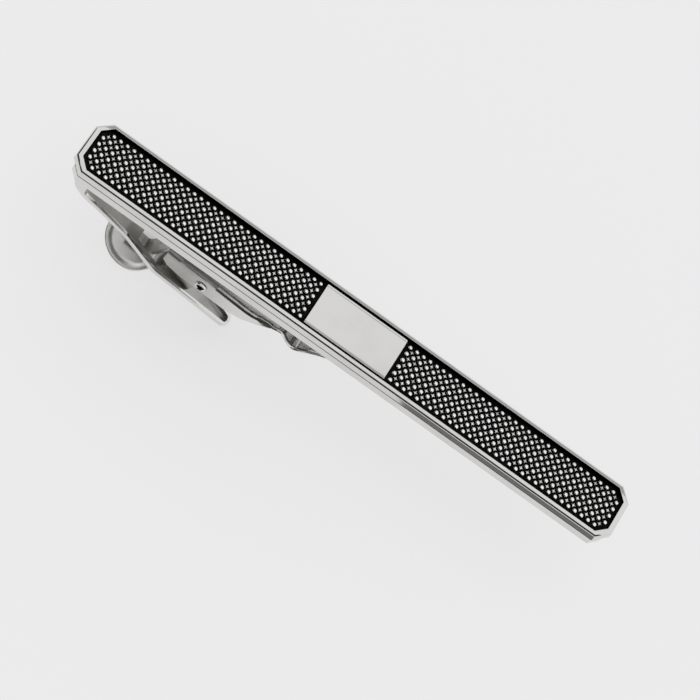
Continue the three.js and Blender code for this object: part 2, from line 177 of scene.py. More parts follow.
class TieBarSizes(bpy.types.PropertyGroup):
    """Sizes of the bar's front frame, back and plaque."""

    corner_cut: length_of("Corner cut", "How far each corner of the octagon is cut back", 1.25)
    rim_side: length_of("Rim at the sides", "Width of the rim along the bar", 0.53)
    rim_end: length_of("Rim at the ends", "Width of the rim at the bar's ends", 0.65)
    draft: length_of("Draft", "How far the frame's sides lean in on their way up", 0.08)
    rim_fall: length_of("Rim fall", "How much lower the rim's outer edge lies than its inner edge", 0.09)
    rim_round: length_of("Rim rounding", "Radius of the rim's outer edge", 0.2)
    recess_round: length_of("Recess rounding", "Radius of the rim's inner edge", 0.05)
    seam: length_of("Seam", "Bevel on either side of the seam between frame and back", 0.1)
    recess_depth: length_of("Recess depth", "From the rim down to the recess floor", 0.7)
    back_inset: length_of("Back inset", "How far the back's sides lie inside the frame's", 0.06)
    end_inset: length_of("Back end inset", "How far the back's ends lie inside the frame's", 0.45)
    back_height: length_of("Back height", "Height of the back layer", 1.3)
    back_round: length_of("Back rounding", "Radius of the back's lower edge", 0.16)
    crown: length_of("Crown radius", "Radius of the shallow arch across the beaded panels", 17)
    plaque_crown: length_of("Plaque crown", "Radius of the shallow arch across the plaque", 60)
    plaque_facet: length_of("Plaque facet", "Width of the facet along each long edge of the plaque", 0.26)
    plaque_slope: angle_of("Plaque slope", "How steeply the facet falls", 25)
    plaque_roll: length_of("Plaque roll", "Radius of the plaque's long edges", 0.06)
    plaque_bevel: length_of("Plaque bevel", "Bevel at the plaque's two ends", 0.1)


class BeadSizes(bpy.types.PropertyGroup):
    """Sizes of the bead rows."""

    columns: IntProperty(name="Columns", description="Bead columns in a panel", default=33, min=1)
    rows: IntProperty(name="Rows", description="Bead rows across a panel", default=6, min=2)
    column_pitch: length_of("Column pitch", "From one bead column to the next", 0.7438)
    row_pitch: length_of("Row pitch", "From one bead row to the next", 0.7774)
    first_column: length_of("First column", "From the bar's end to the outermost column", 1.155)
    radius: length_of("Bead radius", "Radius of a bead at its foot", 0.25)
    depth: length_of("Groove depth", "From a bead's top to the floor of its groove", 0.2)
    star_sink: length_of("Star sink", "How much lower the stars lie than the bead tops", 0.1)
    star_size: number_of("Star size", "A star's size against the beads' spacing", 0.55, min=0.1, max=1)
    star_reach: number_of("Star reach", "How deep the beads bite into a star's sides", 0.98, min=0, max=1)
    panel_cut: length_of("Panel cut", "How far the panel's outer corners are cut back", 0.9)
    top_sink: length_of("Bead top sink", "How far the tallest beads stay under the rim", 0.06)


class ClaspSizes(bpy.types.PropertyGroup):
    """Sizes of the strap that bends round the bar's end and runs back as a gutter."""

    sheet: length_of("Sheet", "Thickness of the strap's sheet", 0.35)
    gutter_depth: length_of("Gutter depth", "Height of the gutter's walls", 1)
    lip_round: length_of("Lip rounding", "Radius of the gutter's outer lip", 0.12)
    floor_round: length_of("Floor rounding", "Radius where the gutter's floor meets its walls", 0.6)
    bend_top: length_of("Bend top", "Height where the bend leaves the back", 0.6)
    bend_radius: length_of("Bend radius", "Radius of the bend at the bar's end", 6.3)
    bend_start: angle_of("Bend start", "Slope of the bend where it leaves the back", 75)
    first_slope: angle_of("First slope", "Slope of the gutter after the bend", 26)
    first_run: length_of("First run", "Length of the first slope", 3.6)
    steep_slope: angle_of("Steep slope", "Slope of the gutter's middle", 38)
    steep_run: length_of("Steep run", "Length of the steep slope", 3.9)
    last_slope: angle_of("Last slope", "Slope of the gutter's last stretch", 27)
    last_run: length_of("Last run", "Length of the last slope", 9.6)
    elbow: length_of("Elbow radius", "Radius of the gutter's two elbows", 5)
    start_cut: length_of("Start cut", "Cut of the strap's corners where it leaves the back", 0.9)
    bite: length_of("Bite", "How far the bend's walls reach up into the back", 0.3)
    throat: length_of("Throat start", "From the bar's end to where the slit starts", 2.65)
    tip_half: length_of("Tip half width", "Half the gutter's width where its tip starts to close", 0.75)
    tip_length: length_of("Tip length", "Length of the closing tip", 0.6)
    window_start: length_of("Window start", "From the bar's end to the window in the gutter's floor", 8.9)
    window_length: length_of("Window length", "Length of the window", 2.8)
    window_half: length_of("Window half width", "Half the width of the window", 1.2)


class LeverSizes(bpy.types.PropertyGroup):
    """Sizes of the lever, its pin and its spring."""

    sheet: length_of("Sheet", "Thickness of the lever's sheet", 0.35)
    edge_round: length_of("Edge rounding", "Radius where the web turns down into a flange", 0.5)
    # Where the lever turns from its darker nose, partly painted shade, to its polished tip.
    polish_and_light_start: length_of("Polish start", "From the pivot to where the lever's polish starts", -2.5)
    polish_and_light_end: length_of("Polish end", "From the pivot to where the lever is fully polished", 5)
    flare: length_of("Flare", "Height of the flare along each flange's lower edge", 0.25)
    flare_slope: number_of("Flare slope", "Outward run of the flare for its height", 0.6)
    tongue_edge: length_of("Tongue edge", "How far the tongue's edges turn down", 0.12)
    arm_width: length_of("Arm width", "Width of the arm to the pad", 1.8)
    pin_radius: length_of("Pin radius", "Radius of the pivot pin", 0.35)
    pin_play: length_of("Pin play", "Gap between the lever and each end of the pin", 0.03)
    # The rivet's hollow is blackened as painted shade.
    hollow: number_of("Rivet hollow", "A rivet's dark hollow as a share of its head", 0.66, min=0, max=1)
    wire_radius: length_of("Wire radius", "Radius of the spring's wire", 0.14)
    coil_radius: length_of("Coil radius", "Radius of the coil's middle line", 0.62)
    coil_pitch: length_of("Coil pitch", "From one turn of the coil to the next", 0.34)
    coil_turns: IntProperty(name="Turns", description="Whole turns of the coil", default=3, min=1)
    coil_start: angle_of("Coil start", "Where the coil starts", 200)
    coil_part: angle_of("Coil part turn", "What the coil turns past its whole turns", 120)
    leg: length_of("Spring leg", "Length of each straight leg of the spring", 2.1)
    pad_thickness: length_of("Pad thickness", "Thickness of the thumb pad", 0.75)
    pad_belly: length_of("Pad belly", "How far the pad's underside rises to its edge", 0.42)
    pad_chamfer: length_of("Pad chamfer", "Chamfer at the pad's upper edge", 0.1)
    pad_tilt: angle_of("Pad tilt", "How far the pad leans down towards the pivot", 10)


class FinishColours(bpy.types.PropertyGroup):
    """Colours of the finishes and the stage."""

    silver: colour_of("Silver", "Polished silver", (0.735, 0.73, 0.715))
    silver_shade: colour_of("Silver, hazed", "Silver where a faint haze dulls it", (0.66, 0.652, 0.635))
    satin: colour_of("Satin", "Silver of the thumb pad", (0.95, 0.945, 0.93))
    satin_shade: colour_of("Satin, worn", "Where thumbs have dulled the pad", (0.88, 0.87, 0.85))
    # The two colours below are unpolished silver made darker still as painted shade, for the gutter's
    # inside, the lever's nose and inner faces, and the bracket.
    stamped_shade: colour_of("As stamped", "Silver that the polishing wheel did not reach", (0.5, 0.488, 0.465))
    stamped_shade_tarnished: colour_of("Stamped, tarnished", "Where unpolished silver dulls", (0.36, 0.348, 0.325))
    # Bead tops: real burnishing, set brighter than the other silver as a painted highlight.
    burnished_highlight: colour_of("Burnished", "Silver rubbed bright on the bead tops", (0.95, 0.945, 0.93))
    oxide: colour_of("Oxide", "Blackened ground of the panels", (0.006, 0.006, 0.0065))
    oxide_worn: colour_of("Oxide, worn", "Where the blackening is thin", (0.022, 0.0215, 0.021))
    spring: colour_of("Spring steel", "Drawn spring wire", (0.52, 0.51, 0.49))
    floor: colour_of("Floor", "The pale stage floor", (0.25, 0.25, 0.25))


class StageSizes(bpy.types.PropertyGroup):
    """Camera and light."""

    azimuth: angle_of("Azimuth", "Camera's place round the bar", -11.27)
    elevation: angle_of("Elevation", "Camera's height above the bar's face", 63.56)
    roll: angle_of("Roll", "Turn of the picture about the line of sight", 32.949)
    distance: length_of("Distance", "From the camera to the bar's face", 299.98)
    aim_x: length_of("Aim along the bar", "Where the line of sight meets the bar's face", 0.464)
    aim_y: length_of("Aim across the bar", "Where the line of sight meets the bar's face", -1.965)
    lens: number_of("Lens", "Focal length in millimetres", 169.9)
    sensor: number_of("Sensor", "Sensor width in millimetres", 36)
    sky: number_of("Sky", "Strength of the even light all round", 0.9)
    key: number_of("Key", "Power of the overhead softbox in watts", 1.9)
    key_side: length_of("Key side", "Side of the softbox", 800)
    key_height: length_of("Key height", "Height of the softbox over the bar", 1000)
    key_back: length_of("Key offset", "How far the softbox hangs towards the camera's side", 50)
    glow: number_of("Glow", "Strength of the light that comes through the floor from below", 0.575)
    floor_half: length_of("Floor", "Half the floor's side", 4000)


def settings(name):
    """The scene's values of one of the groups above."""
    return getattr(bpy.context.scene, "tiebar_" + name)


# Finishes

class Number:
    """A number socket that Python's operators work on. Each operation adds a Math node."""

    def __init__(self, finish, socket):
        self.finish = finish
        self.socket = socket

    def _math(self, operation, *values):
        node = self.finish.node("ShaderNodeMath", {"operation": operation}, dict(enumerate(values)))
        return Number(self.finish, node.outputs[0])

    def __add__(self, other):
        return self._math("ADD", self, other)

    __radd__ = __add__

    def __sub__(self, other):
        return self._math("SUBTRACT", self, other)

    def __rsub__(self, other):
        return self._math("SUBTRACT", other, self)

    def __mul__(self, other):
        return self._math("MULTIPLY", self, other)

    __rmul__ = __mul__

    def __truediv__(self, other):
        return self._math("DIVIDE", self, other)

    def smoothed(self, low, high):
        """0 below low, 1 above high, and a smooth step between them."""
        node = self.finish.node(
            "ShaderNodeMapRange", {"interpolation_type": "SMOOTHSTEP"},
            {"Value": self, "From Min": low, "From Max": high, "To Min": 0.0, "To Max": 1.0})
        return Number(self.finish, node.outputs[0])


class Finish:
    """A material under construction."""

    def __init__(self, name):
        self.material = bpy.data.materials.new(name)
        self.material.use_nodes = True
        self.tree = self.material.node_tree
        self.shader = self.tree.nodes["Principled BSDF"]
        self.place = self.node("ShaderNodeTexCoord", {}, {}).outputs["Object"]

    def node(self, kind, options, sockets):
        """Adds a node, sets its options, then fills its sockets with values or links."""
        node = self.tree.nodes.new(kind)
        for key, value in options.items():
            setattr(node, key, value)
        for key, value in sockets.items():
            self.feed(node.inputs[key], value)
        return node

    def feed(self, socket, value):
        """Links a socket to a link, or sets its value."""
        if isinstance(value, Number):
            value = value.socket
        if isinstance(value, bpy.types.NodeSocket):
            self.tree.links.new(value, socket)
        elif socket.type == "RGBA" and len(value) == 3:
            socket.default_value = (*value, 1)
        else:
            socket.default_value = value

    def axis(self, letter):
        """The place along X, Y or Z, in metres."""
        parts = self.node("ShaderNodeSeparateXYZ", {}, {"Vector": self.place})
        return Number(self, parts.outputs[letter])

    def noise(self, per_millimetre, stretch=(1, 1, 1), detail=3, roughness=0.5):
        """Noise from 0 to 1, with so many lumps in a millimetre, drawn out where stretch is small."""
        scale = [per_millimetre / MM * s for s in stretch]
        at = self.node("ShaderNodeMapping", {}, {"Vector": self.place, "Scale": scale})
        node = self.node("ShaderNodeTexNoise", {},
                         {"Vector": at.outputs[0], "Scale": 1.0, "Detail": detail, "Roughness": roughness})
        return Number(self, node.outputs["Fac"])

    def mix(self, share, a, b):
        """Colour a where share is 0 and colour b where it is 1."""
        node = self.node("ShaderNodeMix", {"data_type": "RGBA"}, {0: share, 6: a, 7: b})
        return node.outputs[2]

    def bump(self, height, depth):
        """A surface normal from a height from 0 to 1 that stands for so many metres."""
        node = self.node("ShaderNodeBump", {}, {"Height": height, "Distance": depth, "Strength": 1.0})
        return node.outputs["Normal"]

    def surface(self, **sockets):
        """Sets the shader's sockets, whose names have _ for a space."""
        for key, value in sockets.items():
            self.feed(self.shader.inputs[key.replace("_", " ")], value)
        return self.material


def bright_silver():
    """Bright plated silver: faint haze, fine polishing lines along the bar and tiny scratches."""
    colours = settings("colours")
    finish = Finish("bright_silver")
    haze = finish.noise(0.22, detail=4).smoothed(0.35, 0.75)
    lines = finish.noise(9, stretch=(0.04, 1, 1), detail=2)
    scratches = finish.noise(5, stretch=(0.12, 1, 0.6), detail=5, roughness=0.7).smoothed(0.62, 0.72)
    return finish.surface(
        Base_Color=finish.mix(haze * 0.8, colours.silver, colours.silver_shade),
        Metallic=1.0,
        Roughness=0.07 + haze * 0.05 + lines * 0.04 + scratches * 0.06,
        Normal=finish.bump(lines + scratches * 0.5, 0.0005 * MM),
    )


def unpolished(finish):
    """A slow tarnish and the fine lines of rolling, which the unpolished finishes share."""
    tarnish = finish.noise(0.35, detail=5, roughness=0.6).smoothed(0.3, 0.8)
    return tarnish, finish.noise(7, stretch=(0.05, 1, 1), detail=3)


def lever_silver():
    """Silver left unpolished at the lever's nose, inside the gutter, and polished towards its tip; the
    nose's darker colour is partly painted shade, where the gutter shades it.
    """
    colours = settings("colours")
    sizes = settings("lever")
    finish = Finish("lever_silver")
    tarnish, lines = unpolished(finish)
    from_pivot = finish.axis("X") - PIVOT.x + (tarnish - 0.5) * 0.8 * MM
    # Darker nose to polished tip: partly real polish, partly painted shade from the gutter.
    polish_and_light = from_pivot.smoothed(sizes.polish_and_light_start, sizes.polish_and_light_end)
    dull_and_shade = finish.mix(tarnish, colours.stamped_shade, colours.stamped_shade_tarnished)
    return finish.surface(
        Base_Color=finish.mix(polish_and_light, dull_and_shade, colours.silver),
        Metallic=1.0,
        Roughness=0.34 - polish_and_light * 0.22 + lines * 0.08,
        Normal=finish.bump(lines + tarnish * 0.6, 0.0012 * MM),
    )


def stamped_shaded_silver():
    """Silver as it left the stamping press: satin, slightly tarnished, with faint rolling lines, and darker
    as painted shade where it lines the gutter, the lever and the bracket.
    """
    colours = settings("colours")
    finish = Finish("stamped_shaded_silver")
    tarnish, lines = unpolished(finish)
    return finish.surface(
        Base_Color=finish.mix(tarnish, colours.stamped_shade, colours.stamped_shade_tarnished),
        Metallic=1.0,
        Roughness=0.32 + tarnish * 0.1 + lines * 0.08,
        Normal=finish.bump(lines + tarnish * 0.6, 0.0012 * MM),
    )


def blackened(finish):
    """The grain and the colour of blackened silver, thinner here and there."""
    colours = settings("colours")
    grain = finish.noise(3.2, detail=4)
    residue = finish.noise(1.3, detail=5, roughness=0.65).smoothed(0.5, 0.8)
    return grain, finish.mix(residue, colours.oxide, colours.oxide_worn)


def antiqued_silver():
    """Silver blackened in its grooves and polished back on the bead tops and star points, whose brighter
    colour is partly real burnishing and partly a painted highlight.
    """
    colours = settings("colours")
    sizes = settings("bar")
    beads = settings("beads")
    finish = Finish("antiqued_silver")
    across = finish.axis("Y")
    crest = TOP - beads.top_sink - across * across / (2 * sizes.crown)
    depth = crest - finish.axis("Z")
    grain, ground = blackened(finish)
    worn_to = beads.depth * (0.5 + grain * 0.22)
    polished = 1 - (depth / worn_to).smoothed(0.72, 1.0)
    return finish.surface(
        Base_Color=finish.mix(polished, ground, colours.burnished_highlight),
        Metallic=1.0,
        Roughness=0.5 - polished * 0.34 + grain * 0.06,
        Normal=finish.bump(grain, 0.004 * MM),
    )


def oxidised_and_shade_silver():
    """Silver blackened all over, with a thin worn patch here and there: real oxide in the frame's recess,
    and painted shade in the rivet's hollows.
    """
    finish = Finish("oxidised_and_shade_silver")
    grain, ground = blackened(finish)
    return finish.surface(
        Base_Color=ground,
        Metallic=1.0,
        Roughness=0.5 + grain * 0.06,
        Normal=finish.bump(grain, 0.004 * MM),
    )


def satin_silver():
    """Silver with the soft circular haze of a thumb's wear over fine blasting."""
    colours = settings("colours")
    finish = Finish("satin_silver")
    haze = finish.noise(0.4, detail=4).smoothed(0.3, 0.8)
    grain = finish.noise(14, detail=2)
    return finish.surface(
        Base_Color=finish.mix(haze, colours.satin, colours.satin_shade),
        Metallic=1.0,
        Roughness=0.4 + haze * 0.06 + grain * 0.05,
        Normal=finish.bump(grain, 0.0008 * MM),
    )


def drawn_wire():
    """Spring wire with the fine lines of the drawing die along it and a slight bloom."""
    colours = settings("colours")
    finish = Finish("drawn_wire")
    bloom = finish.noise(0.8, detail=4)
    lines = finish.noise(12, stretch=(1, 0.2, 1), detail=2)
    return finish.surface(
        Base_Color=finish.mix(bloom, colours.spring, colours.silver_shade),
        Metallic=1.0,
        Roughness=0.2 + bloom * 0.12 + lines * 0.1,
        Normal=finish.bump(lines, 0.001 * MM),
    )


def pale_floor():
    """A pale matt floor with a barely visible mottle."""
    colours = settings("colours")
    finish = Finish("pale_floor")
    mottle = finish.noise(0.02, detail=4)
    darker = [c * 0.985 for c in colours.floor]
    return finish.surface(Base_Color=finish.mix(mottle, colours.floor, darker), Roughness=0.75,
                          Specular_IOR_Level=0.0, Emission_Color=(1, 1, 1),
                          Emission_Strength=settings("stage").glow)


FINISHES = {maker.__name__: maker for maker in (
    bright_silver, lever_silver, stamped_shaded_silver, antiqued_silver, oxidised_and_shade_silver, satin_silver, drawn_wire,
    pale_floor)}


def finish_named(name):
    """The finish of that name, made on first use. No finish is named as a slot is."""
    return bpy.data.materials.get(name) or FINISHES[name]()


# Shapes

def points_from_pivot(places):
    """Points in the bar's middle plane, from (along, up) places in millimetres from the pivot."""
    return [PIVOT + Vector((x, 0, z)) * MM for x, z in places]


def only(geometry, kind):
    """The vertices, edges or faces among what an operator gives back."""
    return [part for part in geometry if isinstance(part, kind)]


def octagon(bm, length, width, cut, height):
    """An octagonal face with cut corners."""
    x, y = length / 2, width / 2
    corners = [(x - cut, y), (x, y - cut)]
    corners += [(a, -b) for a, b in reversed(corners)]
    corners += [(-a, b) for a, b in reversed(corners)]
    verts = [bm.verts.new((a, b, height)) for a, b in corners]
    return bmesh.ops.contextual_create(bm, geom=verts)["faces"][0]


def pull(bm, faces, move):
    """Extrudes faces by a vector and returns the moved ones."""
    made = bmesh.ops.extrude_face_region(bm, geom=faces)["geom"]
    bmesh.ops.translate(bm, verts=only(made, bmesh.types.BMVert), vec=move)
    return only(made, bmesh.types.BMFace)


def round_edges(bm, edges, radius, steps=3):
    """Rounds edges off."""
    bmesh.ops.bevel(bm, geom=list(edges), offset=radius, segments=steps, profile=0.5,
                    affect="EDGES", material=-1, clamp_overlap=True)


def sheet(bm, along, across, place):
    """A sheet of faces whose corners lie where place(u, v) says, with u and v from 0 to 1."""
    start = len(bm.faces)
    for vert in bmesh.ops.create_grid(bm, x_segments=along, y_segments=across, size=0.5)["verts"]:
        vert.co = place(vert.co.x + 0.5, vert.co.y + 0.5)
    bm.faces.ensure_lookup_table()
    return bm.faces[start:]


def face_towards(bm, faces, direction):
    """Turns a sheet's faces so that most of them look along a direction."""
    bmesh.ops.recalc_face_normals(bm, faces=faces)
    if sum(face.normal.dot(direction) for face in faces) < 0:
        bmesh.ops.reverse_faces(bm, faces=faces)


def turned(bm, profile, steps, centre=Vector(), axis=UP, side=Vector((1, 0, 0))):
    """Spins a profile of (radius, height) places round an axis through centre."""
    verts = [bm.verts.new(centre + side * radius + axis * height) for radius, height in profile]
    edges = [bm.edges.new(pair) for pair in zip(verts, verts[1:])]
    bmesh.ops.spin(bm, geom=verts + edges, cent=centre, axis=axis, angle=2 * math.pi,
                   steps=steps, use_merge=True)
    bmesh.ops.remove_doubles(bm, verts=bm.verts, dist=MERGE)


def mark_sharp(bm):
    """Shades faces smooth and keeps the real corners crisp."""
    for face in bm.faces:
        face.smooth = True
    for edge in bm.edges:
        edge.smooth = edge.calc_face_angle(math.pi) < SHARP


def piece(bm, name, finish, slot, body, *nodes, inside=None):
    """Makes the object, gives it its finishes and ties it to the frame.

    The faces whose material index is 1 get the inside finish.
    """
    bmesh.ops.recalc_face_normals(bm, faces=bm.faces)
    mark_sharp(bm)
    mesh = bpy.data.meshes.new(name)
    bm.to_mesh(mesh)
    bm.free()
    made = bpy.data.objects.new(name, mesh)
    bpy.context.scene.collection.objects.link(made)
    mesh.materials.append(finish_named(finish))
    if inside:
        mesh.materials.append(finish_named(inside))
    if body:
        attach(made, body)
    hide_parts(*nodes)
    return made


def even_normals(made):
    """Keeps flat faces flat in the shading, next to their rounded edges."""
    modifier = made.modifiers.new("Even normals", "WEIGHTED_NORMAL")
    modifier.keep_sharp = True


def thicken(bm, faces, thickness):
    """Gives faces a wall and marks the faces of its other side for the inside finish."""
    for face in only(bmesh.ops.solidify(bm, geom=faces, thickness=thickness)["geom"], bmesh.types.BMFace):
        face.material_index = 1


def soften(made, width, steps=3):
    """Adds a live bevel on the piece's sharp edges."""
    bevel = made.modifiers.new("Soft edges", "BEVEL")
    bevel.width = width
    bevel.segments = steps
    bevel.limit_method = "ANGLE"
    bevel.angle_limit = SOFTENED
    bevel.harden_normals = True


def merged_copy(node):
    """A bmesh copy of a CAD node with its loose triangles joined up."""
    bm = bmesh.new()
    bm.from_mesh(frame["nodes"][node].data)
    bmesh.ops.remove_doubles(bm, verts=bm.verts, dist=MERGE)
    bmesh.ops.dissolve_limit(bm, angle_limit=FLAT, verts=bm.verts, edges=bm.edges)
    return bm


def smooth_points(points, count):
    """Evenly spaced places on a smooth curve through points, by Catmull and Rom's formula."""
    padded = [2 * points[0] - points[1], *points, 2 * points[-1] - points[-2]]
    fine = []
    for a, b, c, d in zip(padded, padded[1:], padded[2:], padded[3:]):
        for step in range(CURVE_STEPS):
            t = step / CURVE_STEPS
            fine.append(0.5 * (2 * b + (c - a) * t + (2 * a - 5 * b + 4 * c - d) * t ** 2
                               + (3 * b - a - 3 * c + d) * t ** 3))
    fine.append(points[-1])
    return respaced(fine, count)


def respaced(points, count):
    """The same line with count evenly spaced places."""
    lengths = [0]
    for a, b in zip(points, points[1:]):
        lengths.append(lengths[-1] + (b - a).length)
    made = []
    k = 0
    for i in range(count):
        target = lengths[-1] * i / (count - 1)
        while k < len(points) - 2 and lengths[k + 1] < target:
            k += 1
        share = (target - lengths[k]) / max(lengths[k + 1] - lengths[k], MERGE * HAIR)
        made.append(points[k].lerp(points[k + 1], min(share, 1)))
    return made


# The bar

class TIEBAR_OT_front_frame(bpy.types.Operator):
    """Adds the octagonal frame: a rim that falls outwards round a recess"""

    bl_idname = "tiebar.front_frame"
    bl_label = "Front Frame"

    def execute(self, context):
        sizes = settings("bar")
        length, width = BAR_HIGH.x - BAR_LOW.x, BAR_HIGH.y - BAR_LOW.y
        bm = bmesh.new()
        bottom = octagon(bm, length, width, sizes.corner_cut, BAR_LOW.z)
        top = pull(bm, [bottom], (0, 0, TOP - BAR_LOW.z))[0]
        draft = (1 - 2 * sizes.draft / length, 1 - 2 * sizes.draft / width, 1)
        bmesh.ops.scale(bm, verts=top.verts, vec=draft)
        bmesh.ops.inset_region(bm, faces=[top], thickness=sizes.rim_side - sizes.draft,
                               use_even_offset=True)
        inner = set(top.verts)
        outer = {v for v in bm.verts if v.co.z > TOP - HAIR and v not in inner}
        stretch = (length / 2 - sizes.rim_end) / (length / 2 - sizes.rim_side)
        bmesh.ops.scale(bm, verts=top.verts, vec=(stretch, 1, 1))
        floor = pull(bm, [top], (0, 0, -sizes.recess_depth))
        bmesh.ops.delete(bm, geom=[top], context="FACES_ONLY")
        for face in [*floor, *(f for edge in floor[0].edges for f in edge.link_faces)]:
            face.material_index = 1
        bmesh.ops.translate(bm, verts=list(outer), vec=(0, 0, -sizes.rim_fall))
        crisp = [e for e in bm.edges if e.calc_face_angle(0) > SHARP]
        outside = [e for e in crisp if set(e.verts) <= outer]
        inside = [e for e in crisp if min(v.co.z for v in e.verts) > TOP - sizes.rim_fall / 2]
        low = [e for e in bm.edges if max(v.co.z for v in e.verts) < BAR_LOW.z + sizes.seam / 2]
        round_edges(bm, inside, sizes.recess_round)
        round_edges(bm, [e for e in outside if e.is_valid], sizes.rim_round, steps=5)
        round_edges(bm, [e for e in low if e.is_valid], sizes.seam, steps=1)
        even_normals(piece(bm, "front_frame_body", "bright_silver", "polished_silver", "bar",
                           "front_frame", inside="oxidised_and_shade_silver"))
        return {"FINISHED"}


class TIEBAR_OT_centre_plaque(bpy.types.Operator):
    """Adds the plain crowned plaque with rolled long edges"""

    bl_idname = "tiebar.centre_plaque"
    bl_label = "Centre Plaque"

    def execute(self, context):
        sizes = settings("bar")
        half_x, half_y = PLAQUE_HIGH.x, PLAQUE_HIGH.y
        bm = bmesh.new()

        def place(u, v):
            y = (2 * v - 1) * half_y
            fall = max(0, abs(y) - half_y + sizes.plaque_facet) * math.tan(sizes.plaque_slope)
            height = PLAQUE_HIGH.z - y * y / (2 * sizes.plaque_crown) - fall
            return Vector(((2 * u - 1) * half_x, y, height))

        pull(bm, sheet(bm, 1, PLAQUE_STEPS, place), (0, 0, PLAQUE_LOW.z - PLAQUE_HIGH.z))
        for vert in bm.verts:
            if vert.co.z < PLAQUE_LOW.z + MERGE:
                vert.co.z = PLAQUE_LOW.z
        bmesh.ops.recalc_face_normals(bm, faces=bm.faces)
        high = [e for e in bm.edges
                if e.calc_face_angle(0) > SHARP and min(v.co.z for v in e.verts) > PLAQUE_LOW.z]
        ends = [e for e in high if abs(e.verts[0].co.x - e.verts[1].co.x) < MM]
        sides = [e for e in high if e not in ends]
        round_edges(bm, ends, sizes.plaque_bevel, steps=2)
        round_edges(bm, [e for e in sides if e.is_valid], sizes.plaque_roll)
        even_normals(piece(bm, "centre_plaque_body", "bright_silver", "polished_silver", "bar",
                           "centre_plaque"))
        return {"FINISHED"}


def bead(bm, sizes):
    """One round bead at the origin, with its top at height 0."""
    turned(bm, [(sizes.radius * out, -sizes.depth * down) for out, down in BEAD_LINE], BEAD_SIDES)


def star_outline(sizes):
    """The star's outline as places in X and Y: four quarter arcs round the neighbouring beads."""
    half_x, half_y = sizes.star_size * sizes.column_pitch / 2, sizes.star_size * sizes.row_pitch / 2
    places = []
    for side_x, side_y in ((1, 1), (-1, 1), (-1, -1), (1, -1)):
        arc = []
        for step in range(STAR_STEPS + 1):
            angle = math.pi / 2 * step / STAR_STEPS
            arc.append((side_x * half_x * (1 - sizes.star_reach * math.sin(angle)),
                        side_y * half_y * (1 - sizes.star_reach * math.cos(angle))))
        places += arc if side_x * side_y > 0 else arc[::-1]
    return places


def add_stars(bm, sizes, spots, top):
    """Adds a raised star at each spot."""
    outline = star_outline(sizes)
    for x, y in spots:
        verts = [bm.verts.new((x + a, y + b, top)) for a, b in outline]
        face = bmesh.ops.contextual_create(bm, geom=verts)["faces"][0]
        pull(bm, [face], (0, 0, -sizes.depth))


def add_beads(bm, sizes, spots, top):
    """Adds a bead at each spot."""
    master = bmesh.new()
    bead(master, sizes)
    mesh = bpy.data.meshes.new("bead_master")
    master.to_mesh(mesh)
    master.free()
    for x, y in spots:
        start = len(bm.verts)
        bm.from_mesh(mesh)
        bm.verts.ensure_lookup_table()
        bmesh.ops.translate(bm, verts=bm.verts[start:], vec=(x, y, top))
    bpy.data.meshes.remove(mesh)


class TIEBAR_OT_inlays(bpy.types.Operator):
    """Adds the two blackened panels with their rows of beads and the stars between them"""

    bl_idname = "tiebar.inlays"
    bl_label = "Beaded Inlays"

    def execute(self, context):
        bar, sizes = settings("bar"), settings("beads")
        for node, side in (("inlay_left", -1), ("inlay_right", 1)):
            self.panel(bar, sizes, node, side)
        return {"FINISHED"}

    def panel(self, bar, sizes, node, side):
        low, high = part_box(node)
        outermost = BAR_HIGH.x - sizes.first_column
        columns = [side * (outermost - i * sizes.column_pitch) for i in range(sizes.columns)]
        rows = [(i - (sizes.rows - 1) / 2) * sizes.row_pitch for i in range(sizes.rows)]
        beads = [(x, y) for i, x in enumerate(columns) for y in rows if i or abs(y) < rows[-1]]
        stars = [(x - side * sizes.column_pitch / 2, y + sizes.row_pitch / 2)
                 for x in columns[:-1] for y in rows[:-1]]
        top = TOP - sizes.top_sink
        bm = bmesh.new()
        self.ground(bm, sizes.panel_cut, low, high, side, top - sizes.depth)
        add_stars(bm, sizes, stars, top - sizes.star_sink)
        add_beads(bm, sizes, beads, top)
        for vert in bm.verts:
            if vert.co.z > low.z + HAIR:
                vert.co.z -= vert.co.y ** 2 / (2 * bar.crown)
        piece(bm, node + "_beaded", "antiqued_silver", "blackened_beads", "bar", node)

    def ground(self, bm, cut, low, high, side, height):
        """The panel's slab: a strip with two cut corners at the bar's end."""
        inner, outer = (high.x, low.x) if side < 0 else (low.x, high.x)

        def place(u, v):
            y = (2 * v - 1) * high.y
            end = outer - side * max(0, abs(y) - (high.y - cut))
            return Vector((inner + (end - inner) * u, y, height))

        pull(bm, sheet(bm, 1, PANEL_STEPS, place), (0, 0, low.z - height))


class TIEBAR_OT_bar_back(bpy.types.Operator):
    """Adds the bar's back layer, the part of the strap that lies under the front frame"""

    bl_idname = "tiebar.bar_back"
    bl_label = "Bar Back"

    def execute(self, context):
        bar = settings("bar")
        length = BAR_HIGH.x - BAR_LOW.x - 2 * bar.end_inset
        width = BAR_HIGH.y - BAR_LOW.y - 2 * bar.back_inset
        bm = bmesh.new()
        bottom = octagon(bm, length, width, bar.corner_cut - bar.end_inset, 0)
        pull(bm, [bottom], (0, 0, bar.back_height))
        low = [e for e in bm.edges if max(v.co.z for v in e.verts) < HAIR]
        round_edges(bm, low, bar.back_round, steps=4)
        high = [e for e in bm.edges if min(v.co.z for v in e.verts) > bar.back_height - HAIR]
        round_edges(bm, high, bar.seam, steps=1)
        even_normals(piece(bm, "bar_back", "bright_silver", "polished_silver", "bar", "clasp_strap"))
        return {"FINISHED"}


# The clasp

